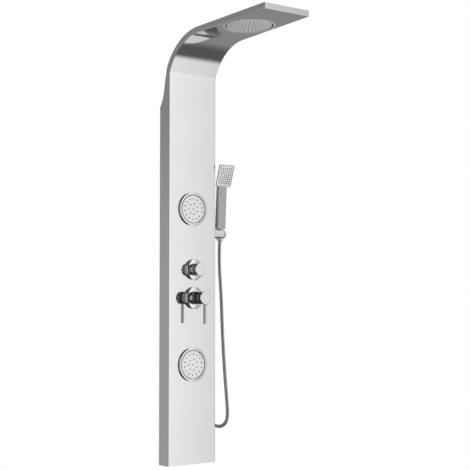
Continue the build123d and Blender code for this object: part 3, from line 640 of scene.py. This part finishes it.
def folded_panel():
    """U-shaped sheet carried along the bent line: rolled front edges, flanges as deep as the back edge."""
    roll = np.linspace(0, np.pi / 2, 9)
    tight = np.linspace(0, np.pi / 2, 5)
    inner = EDGE_ROLL - SHEET
    arc_x, arc_n = HALF - EDGE_ROLL + EDGE_ROLL * np.cos(roll), EDGE_ROLL - EDGE_ROLL * np.sin(roll)
    back_x, back_n = HALF - EDGE_ROLL + inner * np.cos(tight), EDGE_ROLL - inner * np.sin(tight)
    outside_x = np.concatenate(([HALF, HALF], arc_x, [HALF - EDGE_ROLL - 1.2]))
    outside_n = np.concatenate(([-1, EDGE_ROLL + 1.2], arc_n, [0.0]))
    inside_x = np.concatenate(([HALF - EDGE_ROLL - 1.2], back_x[::-1], [HALF - SHEET, HALF - SHEET]))
    inside_n = np.concatenate(([SHEET], back_n[::-1], [EDGE_ROLL + 1.2, -1]))
    ring_x = np.concatenate((outside_x, -outside_x[::-1], -inside_x[::-1], inside_x))
    ring_n = np.concatenate((outside_n, outside_n[::-1], inside_n[::-1], inside_n))
    depth = np.where(ring_n[None] < 0, FLANGE[:, None], ring_n[None])
    forward = LINE_F[:, None] + INWARD[:, :1] * depth
    height = LINE_Z[:, None] + INWARD[:, 1:] * depth
    across = ring_x - np.sign(ring_x) * narrowing(forward)
    return stations(spot(across, forward, height))


def tip_plate():
    """Plate that closes the arm: its outline carried forward and drawn in round a quarter turn."""
    roll = np.linspace(0, np.pi / 2, 6)
    radius = 1.1
    along = np.concatenate(([0.0], TIP_PLATE - radius + radius * np.sin(roll), [TIP_PLATE]))
    inset = np.concatenate(([0.0], radius - radius * np.cos(roll), [radius + 0.8]))
    rings = []
    for step, drawn in zip(along, inset):
        outline = rounded_rectangle(2 * (HALF - NARROWING - drawn), ARM_THICK - 2 * drawn, 1.9 - 0.4 * drawn)
        height = LINE_Z[-1] + ARM_THICK / 2 + outline[:, 1]
        rings.append(spot(outline[:, 0], REACH - TIP_PLATE + step, height))
    return stations(np.array(rings))


def arm_skin():
    """Sheet that closes the back and the top of the arm, just inside the flanges."""
    bend = slice(int(np.argmax(LINE_Z > BACK_EDGE[0][0] - 1)), None)
    outer = LINE[bend, :2] + INWARD[bend] * FLANGE[bend, None]
    along = np.gradient(outer, axis=0)
    inward = np.stack([along[:, 1], -along[:, 0]], -1) / np.linalg.norm(along, axis=1)[:, None]
    half = HALF - SHEET - 0.12
    corner = np.array([(-1, 0.3, 0), (-1, 0, 0.3), (1, 0, -0.3), (1, 0.3, 0), (1, SHEET, 0), (-1, SHEET, 0)])
    forward = outer[:, :1] + inward[:, :1] * corner[:, 1]
    height = outer[:, 1:] + inward[:, 1:] * corner[:, 1]
    across = corner[:, 0] * (half - narrowing(forward)) + corner[:, 2]
    return stations(spot(across, forward, height))


def opening(x, forward, height, axis, radius, length=24.0):
    """Cutter for a round hole, centred on the sheet."""
    return cylinder(spot(x, forward, height) - np.asarray(axis) * length / 2 * MM, axis, radius, length)


ARM_RISE = 1 / math.tan(LINE_TURN[-1])
UNDER_NORMAL = unit((0.0, ARM_RISE, 1.0))
rain_height = float(np.interp(RAIN_FORWARD, LINE_F[-5:], LINE_Z[-5:]))
RAIN_SPOT = spot(0, RAIN_FORWARD, rain_height)
RAIN_PIVOT = RAIN_SPOT + UNDER_NORMAL * RAIN_RISE * MM
RAIN_AXIS = unit((math.sin(math.radians(RAIN_AXIS_ANGLE)), math.cos(math.radians(RAIN_AXIS_ANGLE)),
                  -math.cos(math.radians(RAIN_AXIS_ANGLE)) * ARM_RISE))

holes = [opening(0, 0, UPPER_JET, FORWARD, JET_HOLE_R), opening(0, 0, LOWER_JET, FORWARD, JET_HOLE_R),
         opening(VALVE_X, 0, DIVERTER, FORWARD, DIVERTER_HOLE_R),
         opening(VALVE_X, 0, MIXER, FORWARD, MIXER_HOLE_R),
         opening(HALF, MANIFOLD_FORWARD, DIVERTER, RIGHT, 10.7, 8.0),
         cylinder(RAIN_SPOT - UNDER_NORMAL * 9 * MM, UNDER_NORMAL, RAIN_OPENING_R + 0.5, 18.0)]
finished("front_panel_folded", folded_panel(), "column", STEEL, ("front_panel",),
         cutters=holes)
finished("arm_tip_plate", tip_plate(), "column", STEEL)
finished("arm_skin", arm_skin(), "column", STEEL, ("arm_cover",))


# ---- Turned pieces on the front face ----------------------------------------------------------------------
def turned_piece(name, outline, x, height, body, paint, stands_for=(), radius=0.5, segments=96):
    """Lathe piece on a line straight out of the front face; the outline is (radius, forward)."""
    return finished(name, lathe(soften(outline, radius), spot(x, 0, height), FORWARD, segments),
                    body, paint, stands_for)


DIVERTER_DOME = ((36, 0), (37.5, 0), (37.5, 3.0), (36.8, 5.6), (34.8, 7.3), (31, 8.3), (24, 9.0), (15.2, 9.4),
                 (15.2, 7.8), (24, 7.4), (31, 6.8), (34.6, 4.6))
MIXER_DOME = ((38, 0), (39.5, 0), (39.5, 3.0), (38.8, 5.6), (36.8, 7.3), (33, 8.3), (27, 9.0), (19.2, 9.3),
              (19.2, 7.8), (27, 7.4), (33, 6.8), (36.6, 4.6))
KNOB = ((5, 11), (18.6, 11), (20.6, 11.8), (20.6, 15), (23, 15.8), (23, 30), (21.4, 30.6), (21.4, 33),
        (23, 33.6), (23, 41.2), (21.2, 43), (0, 43), (0, 32), (5, 32))
COLLAR = ((10.4, 9.8), (22, 9.8), (24, 10.8), (24, 22.4), (22.8, 23.5), (17, 23.5), (17, 34), (5.06, 34),
          (5.06, 12.4), (10.4, 12.4))
HANDLE = ((21.5, 34.3), (23, 34.3), (24, 35.3), (24, 56), (22.6, 56.5), (22.6, 58.5), (24, 59), (24, 72.6),
          (22.2, 74.4), (0, 74.4), (0, 58), (21.5, 58))
for turned_name, turned_outline, turned_height, turned_body, turned_node, turned_radius in (
        ("diverter_dome", DIVERTER_DOME, DIVERTER, "column", "diverter_escutcheon", 20.0),
        ("mixer_dome", MIXER_DOME, MIXER, "column", "mixer_escutcheon", 20.0),
        ("diverter_knob_turned", KNOB, DIVERTER, "diverter", "diverter_knob", 0.7),
        ("mixer_collar_turned", COLLAR, MIXER, "temperature", "mixer_collar", 0.6),
        ("mixer_handle_turned", HANDLE, MIXER, "lever", "mixer_handle", 0.7)):
    turned_piece(turned_name, turned_outline, VALVE_X, turned_height, turned_body, CHROME,
                 (turned_node,), turned_radius, 128)


def lever_stick():
    """Round stick that hangs from the handle: a slight waist under the handle and a domed foot."""
    top, foot = -18.0, -89.0
    waist = LEVER_R - 0.4
    outline = ((0, foot), (LEVER_R, foot), (LEVER_R, top - 12), (waist, top - 9), (waist, top), (0, top))
    return lathe(soften(outline, 1.8, 5), spot(VALVE_X, LEVER_FORWARD, MIXER), UP, 40)


finished("mixer_lever_stick", lever_stick(), "lever", CHROME, ("mixer_lever",))


# ---- Body jets --------------------------------------------------------------------------------------------
PIN_SIDES = 10


def pin_grid(shape, places, centre, across, upward, outward):
    """The same small turned shape, (radius, out), set at many (across, upward) places at once."""
    profile = np.asarray(shape, float)
    angle = np.linspace(0, 2 * np.pi, PIN_SIDES, endpoint=False)
    ring = np.cos(angle)[:, None] * across + np.sin(angle)[:, None] * upward
    one = profile[:, 1, None, None] * outward + profile[:, 0, None, None] * ring
    one = one.reshape(-1, 3)
    places = np.asarray(places, float)
    offset = places[:, :1] * across + places[:, 1:] * upward
    points = (centre + (offset[:, None] + one[None]) * MM).reshape(-1, 3)
    faces = quads(len(profile), PIN_SIDES, wrap_columns=True)
    last = len(profile) * PIN_SIDES
    caps = [list(range(PIN_SIDES))[::-1], list(range(last - PIN_SIDES, last))]
    single = faces.tolist() + caps
    count = len(one)
    return points, [[k + start * count for k in face] for start in range(len(places)) for face in single]


def ringed(*rings):
    """Places on circles: each ring is (radius, count, first angle in degrees)."""
    places = []
    for radius, count, first in rings:
        angle = math.radians(first) + np.arange(count) * 2 * np.pi / count
        places.append(np.stack([radius * np.cos(angle), radius * np.sin(angle)], -1))
    return np.concatenate(places)


NOZZLE = ((2.5, -0.4), (2.4, 0.2), (1.9, 0.5), (1.7, 1.9), (1.3, 2.2), (0.8, 2.2), (0.7, 1.4))
SMALL_NOZZLE = ((1.7, -0.3), (1.6, 0.15), (1.3, 0.3), (1.15, 1.3), (0.9, 1.6), (0.5, 1.6), (0.45, 1.0))


def body_jet(name, height):
    """Flange, swivelling face and nozzles of one jet."""
    flange = ((50, -16), (51.7, -16), (51.7, 0), (59, 0), (59, 3.8), (58.3, 5.4), (56.8, 6.1), (54, 6.4),
              (51.2, 6.4), (50, 5.4))
    turned_piece(f"{name}_rim", flange, 0, height, "column", CHROME, (f"{name}_flange",), 3.0, 128)
    bulge = [(math.sqrt(JET_BALL_R ** 2 - level ** 2), JET_PIVOT + level)
             for level in (-3.3, -1.6, 0.0, 1.6, 2.8)]
    front = JET_PIVOT + 3.5
    dish = [(47.4, front), (44.0, front), (43.0, front - 0.6), (0, front - 0.6)]
    face = [(0, -1.3), (46, -1.3)] + bulge + dish
    turned_piece(f"{name}_disc", face, 0, height, name, SPRAY, (f"{name}_face",), 0.6, 128)
    places = ringed((0, 1, 0), (19, 7, 77), (36, 14, 87))
    nozzles = pin_grid(NOZZLE, places, spot(0, front - 0.6, height), RIGHT, UP, FORWARD)
    finished(f"{name}_tips", nozzles, name, RUBBER, (f"{name}_nozzles",), sharp=50.0)
    pins = joined(*[cylinder(spot(0, JET_PIVOT, height) + RIGHT * side * 47 * MM, RIGHT * side, 1.6, 6.4, 24)
                    for side in (-1, 1)])
    finished(f"{name}_pivots", pins, name, SPRAY)


body_jet("upper_jet", UPPER_JET)
body_jet("lower_jet", LOWER_JET)


# ---- Rain head --------------------------------------------------------------------------------------------
RAIN_SIDE = np.cross(UNDER_NORMAL, RAIN_AXIS)


def box_along(centre, first, second, third, sizes, radius=0.6):
    """Rounded block: a rounded rectangle in the first two directions, drawn in at both ends of the third."""
    long, wide, deep = sizes
    roll = np.linspace(0, np.pi / 2, 4)
    along = np.concatenate((-deep / 2 + radius - radius * np.cos(roll),
                            deep / 2 - radius + radius * np.sin(roll)))
    inset = np.concatenate((radius - radius * np.sin(roll), radius - radius * np.cos(roll)))
    rings = []
    for level, drawn in zip(along, inset):
        outline = rounded_rectangle(long - 2 * drawn, wide - 2 * drawn, radius + 0.4, 3) * MM
        rings.append(centre + outline[:, :1] * first + outline[:, 1:] * second + third * level * MM)
    return stations(np.array(rings))


def rain_ring():
    """Trim ring round the opening with its two lugs on the pivot line."""
    inner, outer = RAIN_OPENING_R, RAIN_TRIM_R
    outline = ((inner + 0.4, 6), (inner - 0.8, 6), (inner - 0.8, -0.9), (inner + 0.2, -1.2),
               (outer - 1.6, -1.2), (outer, -0.4), (outer, 0), (inner + 0.4, 0))
    lugs = [box_along(RAIN_SPOT + RAIN_AXIS * side * (inner - 1.7) * MM + UNDER_NORMAL * 3.7 * MM, RAIN_AXIS,
                      RAIN_SIDE, UNDER_NORMAL, (3.6, 11.0, 10.0)) for side in (-1, 1)]
    return joined(lathe(soften(outline, 0.5, 3), RAIN_SPOT, UNDER_NORMAL, 128), *lugs)


SHELL = ((0, 5), (40, 4.8), (62, 4.2), (RAIN_R - 1, 2.6), (RAIN_R, 1.6), (RAIN_R, -3), (RAIN_R - 1, -4),
         (RAIN_R - 3.6, -4), (RAIN_R - 3.6, 0.2), (0, 0.2))
RAIN_DISC = ((0, 0.1), (RAIN_R - 3.9, 0.1), (RAIN_R - 3.9, -2.9), (RAIN_R - 4.5, -RAIN_FACE_DOWN),
             (0, -RAIN_FACE_DOWN))
finished("rain_trim_ring", rain_ring(), "column", SPRAY, ("rain_bezel",))
finished("rain_shell_spun", lathe(soften(SHELL, 0.8), RAIN_PIVOT, UNDER_NORMAL, 128), "rain_head", DISC,
         ("rain_shell",))
finished("rain_disc", lathe(soften(RAIN_DISC, 0.5, 3), RAIN_PIVOT, UNDER_NORMAL, 128), "rain_head", DISC,
         ("rain_face",))
rain_places = ringed((0, 1, 0), *[(RAIN_NOZZLE_PITCH * ring, 6 * ring, 0) for ring in range(1, 6)])
rain_face_centre = RAIN_PIVOT - UNDER_NORMAL * RAIN_FACE_DOWN * MM
rain_tips = pin_grid(SMALL_NOZZLE, rain_places, rain_face_centre, RAIN_AXIS, RAIN_SIDE, -UNDER_NORMAL)
finished("rain_tips", rain_tips, "rain_head", RUBBER, ("rain_nozzles",), sharp=50.0)


# ---- Holder and hose outlet -------------------------------------------------------------------------------
LEAN = np.array((0.0, -math.sin(math.radians(HANDSET_LEAN)), math.cos(math.radians(HANDSET_LEAN))))
ACROSS_LEAN = np.cross(LEAN, RIGHT)
SOCKET = spot(HALF + HANDSET_OUT, HOLDER_FORWARD, HOLDER_HEIGHT)


def holder_body():
    """Round arm with a domed end: radius follows a quarter circle over its last stretch."""
    dome = np.linspace(0, np.pi / 2, 13)
    arm = HOLDER_LENGTH - HOLDER_R
    out = np.concatenate(([0.0, 0.0, 1.6, 2.2, 3.0, 3.4, arm - 1], arm + HOLDER_R * np.sin(dome)))
    groove = np.array([0.0, 0.0, 0.0, 0.5, 0.0, 0.0, 0.0])
    around = np.concatenate((HOLDER_R - groove, HOLDER_R * np.cos(dome)))
    around[0] = 0.0
    around[-1] = 0.0
    root = spot(HALF, HOLDER_FORWARD, HOLDER_HEIGHT)
    return lathe(np.stack([around, out], -1), root, RIGHT, 96, closed=False)


socket_cut = lathe(((0, -24), (11.4, -24), (12.6, 24), (0, 24)), SOCKET, LEAN, 96, closed=False)
finished("holder_domed", holder_body(), "column", CHROME, ("holder",), cutters=[socket_cut])


def elbow():
    """Outlet elbow: a tube turned through a quarter circle from the column's side to straight down."""
    turn = np.linspace(0, np.pi / 2, 13)
    bend = 11.0
    reach = HALF + OUTLET_OUT
    centre_x = np.concatenate(([74.0, HALF - 0.5], reach - bend + bend * np.sin(turn), [reach]))
    centre_z = np.concatenate(([0.0, 0.0], -bend + bend * np.cos(turn), [-OUTLET_DOWN]))
    out = np.concatenate(([0.0, 0.0], turn, [np.pi / 2]))
    radius = np.concatenate(([10.0, 10.0], np.linspace(10.0, 9.2, 13), [9.2]))
    angle = np.linspace(0, 2 * np.pi, 48, endpoint=False)
    across_x = np.sin(out)[:, None] * np.cos(angle)
    across_z = np.cos(out)[:, None] * np.cos(angle)
    x = centre_x[:, None] + radius[:, None] * across_x
    z = DIVERTER + centre_z[:, None] + radius[:, None] * across_z
    forward = MANIFOLD_FORWARD + radius[:, None] * np.sin(angle) + 0 * x
    return stations(spot(x, forward, z))


finished("outlet_elbow_bent", elbow(), "column", CHROME, ("outlet_elbow",))
ROSE = ((10.2, 0.0), (14.0, 0.0), (14.0, 1.6), (12.2, 3.0), (10.2, 3.2))
rose_seat = spot(HALF, MANIFOLD_FORWARD, DIVERTER)
finished("outlet_rose", lathe(soften(ROSE, 0.5, 3), rose_seat, RIGHT, 64), "column", CHROME)

# ---- Hand shower ------------------------------------------------------------------------------------------
CONE = ((6.3, -25), (9.6, -25), (10.9, -23.6), (12.0, 17.4), (11.4, 18.6), (0, 18.6), (0, 10), (6.3, 10))
finished("handset_cone_turned", lathe(soften(CONE, 0.6, 3), SOCKET, LEAN, 72), "handset", CHROME,
         ("handset_cone",))


def handset_handle():
    """Bar that widens upwards, with cut corners whose edges are softened; its foot is drawn in."""
    foot_steps = HANDLE_FOOT + np.array([0.0, 0.2, 0.8, 2.0])
    level = np.concatenate((foot_steps, np.linspace(22, 176, 12), [HANDLE_TOP]))
    share = (level - HANDLE_FOOT) / (HANDLE_TOP - HANDLE_FOOT)
    wide, deep, back = 36.5 + 4.5 * share, 17 - 5 * share, 2.5 * share
    drawn = np.concatenate(([1.6, 0.8, 0.25, 0.0], np.zeros(13)))
    cut = 2.0 + 1.4 * share
    rings = []
    for up, w, d, b, inset, c in zip(level, wide / 2 - drawn, deep / 2 - drawn, back, drawn, cut):
        corners = ((w, -d + c), (w, d - 2), (w - 2, d), (2 - w, d), (-w, d - 2), (-w, c - d), (c - w, -d),
                   (w - c, -d))
        outline = soften(np.array(corners) + (0.0, b), 1.2, 3) * MM
        rings.append(SOCKET + LEAN * up * MM + outline[:, :1] * RIGHT + outline[:, 1:] * ACROSS_LEAN)
    return stations(np.array(rings))


HEAD_UP = np.array((0.0, -math.sin(math.radians(HEAD_LEAN)), math.cos(math.radians(HEAD_LEAN))))
HEAD_OUT = np.array((0.0, -math.cos(math.radians(HEAD_LEAN)), -math.sin(math.radians(HEAD_LEAN))))
HEAD_CENTRE = spot(HALF + HANDSET_OUT, -5.0, 973.0) + HEAD_UP * HEAD_TALL / 2 * MM


def handset_head():
    """Square head: outline carried from the small back, out along its slope, up the rim and into the tray."""
    roll = np.linspace(0, np.pi / 2, 6)
    rim = 0.9
    level = np.concatenate(([-HEAD_DEEP, -HEAD_DEEP + 0.3, -HEAD_RIM - 0.4, -HEAD_RIM + 0.4],
                            -rim + rim * np.sin(roll), [0.0, -0.3, -2.0]))
    inset = np.concatenate(([10.6, 9.8, 0.5, 0.0], rim - rim * np.cos(roll), [3.1, 3.5, 3.6]))
    corner = np.concatenate(([3.0, 3.2, 4.0, 4.2], 4.2 - (rim - rim * np.cos(roll)), [2.8] * 3))
    rings = []
    for out, drawn, radius in zip(level, inset, corner):
        outline = rounded_rectangle(HEAD_WIDE - 2 * drawn, HEAD_TALL - 2 * drawn, radius, 6) * MM
        rings.append(HEAD_CENTRE + outline[:, :1] * RIGHT + outline[:, 1:] * HEAD_UP + HEAD_OUT * out * MM)
    return stations(np.array(rings))


finished("handset_handle_bar", handset_handle(), "handset", SATIN_PLATE, ("handset_handle",))
finished("handset_head_square", handset_head(), "handset", CHROME, ("handset_head",))
tray = box_along(HEAD_CENTRE - HEAD_OUT * 1.35 * MM, RIGHT, HEAD_UP, HEAD_OUT, (57.6, 72.6, 1.5), 0.4)
finished("handset_spray_plate", tray, "handset", SPRAY, ("handset_face",))
HEAD_NOZZLE = ((2.3, -0.3), (2.2, 0.15), (1.9, 0.3), (1.7, 1.3), (1.4, 1.6), (0.8, 1.6), (0.7, 1.0))
grid_x, grid_y = np.meshgrid((np.arange(6) - 2.5) * 8.6, (np.arange(8) - 3.5) * 7.8)
head_places = np.stack([grid_x.ravel(), grid_y.ravel()], -1)
head_tips = pin_grid(HEAD_NOZZLE, head_places, HEAD_CENTRE - HEAD_OUT * 0.6 * MM, RIGHT, HEAD_UP, HEAD_OUT)
finished("handset_tips", head_tips, "handset", RUBBER, ("handset_nozzles",), sharp=50.0)


# ---- Pieces inside the column: the frame's own shapes, merged and smooth ----------------------------------
def smoothed(node, body, slot):
    """Copy of a node's mesh with its loose triangles joined, smooth except at folds."""
    mesh = frame["nodes"][node].data.copy()
    shell = bmesh.new()
    shell.from_mesh(mesh)
    bmesh.ops.remove_doubles(shell, verts=shell.verts, dist=1e-6)
    shell.to_mesh(mesh)
    shell.free()
    piece = bpy.data.objects.new(f"{node}_smooth", mesh)
    bpy.context.scene.collection.objects.link(piece)
    mesh.polygons.foreach_set("use_smooth", np.ones(len(mesh.polygons), bool))
    mesh.set_sharp_from_angle(angle=math.radians(30))
    mesh.materials.clear()
    mesh.materials.append(SLOT_MATERIALS[slot])
    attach(piece, body)
    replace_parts(piece, node)


NODE_SLOT = {entry["node"]: entry["material_slot"] for entry in frame["record"]["subparts"]}
NODE_BODY = {node: body for body, nodes in frame["record"]["behaviour"]["bodies"].items() for node in nodes}
replaced = {node for piece in bpy.data.objects for node in piece.get("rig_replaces", [])}
for inner_node in sorted(set(frame["nodes"]) - replaced):
    smoothed(inner_node, NODE_BODY[inner_node], NODE_SLOT[inner_node])
for node_name, node_object in frame["nodes"].items():
    node_object.data.materials.clear()
    node_object.data.materials.append(SLOT_MATERIALS[NODE_SLOT[node_name]])


# ---- Studio -----------------------------------------------------------------------------------------------
def studio_world():
    """Light by direction: a broad white screen in front and to the right, dark to the left of it with a
    grey strip and a grey patch straight ahead, a dark band below, grey walls behind, and a ceiling that is
    light over the screen; plain white where it is seen directly."""
    world = bpy.data.worlds.new("studio")
    bpy.context.scene.world = world
    paint = Paint(world)
    place = paint.node("ShaderNodeTexCoord").outputs["Generated"]
    split = paint.node("ShaderNodeSeparateXYZ", None, {"Vector": place})
    x, y, z = (Value(paint, split.outputs[axis]) for axis in "XYZ")
    pitch = (z * -1).math("ARCTAN2", y * -1) * (180 / math.pi)
    front = (y * -1).rise(-0.02, 0.02)
    screen = 0.54 + 0.625 * (1 - x.rise(0.50, 0.68))
    screen = screen * (1 - 0.05 * z.rise(0.0, 0.2)) * (1 - 0.14 * z.rise(0.02, -0.35))
    on_screen = x.rise(0.30, 0.44)
    strip = x.rise(-0.96, -0.90) * x.rise(-0.62, -0.68) * 0.5
    centre = (y * -1).rise(0.94, 0.99) * 0.5
    lit = screen * on_screen + (0.03 + strip + centre) * (1 - on_screen)
    back = 0.36 - 0.10 * x.rise(-0.3, 0.5) - 0.12 * z.rise(0.02, 0.22) * x.rise(0.2, -0.2)
    side = lit * front + back * (1 - front)
    below = pitch.rise(64, 79) * pitch.rise(128, 98)
    side = side * (1 - below) + 0.10 * below
    up = z.rise(0.62, 0.80)
    level = side * (1 - up) + (0.2 + 0.65 * on_screen) * up
    seen = Value(paint, paint.node("ShaderNodeLightPath").outputs["Is Camera Ray"])
    level = level * (1 - seen) + seen
    background = paint.node("ShaderNodeBackground", None, {"Color": level, "Strength": 1.0})
    paint.node("ShaderNodeOutputWorld", None, {"Surface": background.outputs["Background"]})


studio_world()
bpy.context.scene.view_settings.view_transform = "Standard"

FLOOR_BELOW = 620.0
floor_mesh = bpy.data.meshes.new("floor")
floor_angle = np.linspace(0, 2 * np.pi, 96, endpoint=False)
floor_points = spot(2600 * np.cos(floor_angle), 600 + 2600 * np.sin(floor_angle), -FLOOR_BELOW)
floor_mesh.from_pydata(floor_points.tolist(), [], [tuple(range(96))])
floor = bpy.data.objects.new("floor", floor_mesh)
bpy.context.scene.collection.objects.link(floor)
floor.data.materials.append(material(
    "pale_floor",
    lambda p: p.blend(p.noise(3.0), (0.86, 0.86, 0.86, 1), (0.9, 0.9, 0.9, 1)),
    lambda p: p.noise(20.0) * 0.1 + 0.6,
    0.0,
))
floor.visible_glossy = False


def soft_lamp(name, place, aim, width, height, energy):
    """Area lamp that lights matt surfaces and stays out of the reflections."""
    lamp_data = bpy.data.lights.new(name, "AREA")
    lamp_data.shape = "RECTANGLE"
    lamp_data.size, lamp_data.size_y = width, height
    lamp_data.energy = energy
    lamp = bpy.data.objects.new(name, lamp_data)
    lamp.location = place
    lamp.rotation_euler = (Vector(aim) - lamp.location).to_track_quat("-Z", "Y").to_euler()
    lamp.visible_glossy = False
    bpy.context.scene.collection.objects.link(lamp)


soft_lamp("softbox", spot(1500.0, 2600.0, 2300.0), spot(0, 0, 900.0), 1.6, 2.2, 30.0)
soft_lamp("low_fill", spot(0.0, 1300.0, 60.0), spot(0, RAIN_FORWARD, 1400.0), 0.8, 0.8, 14.0)
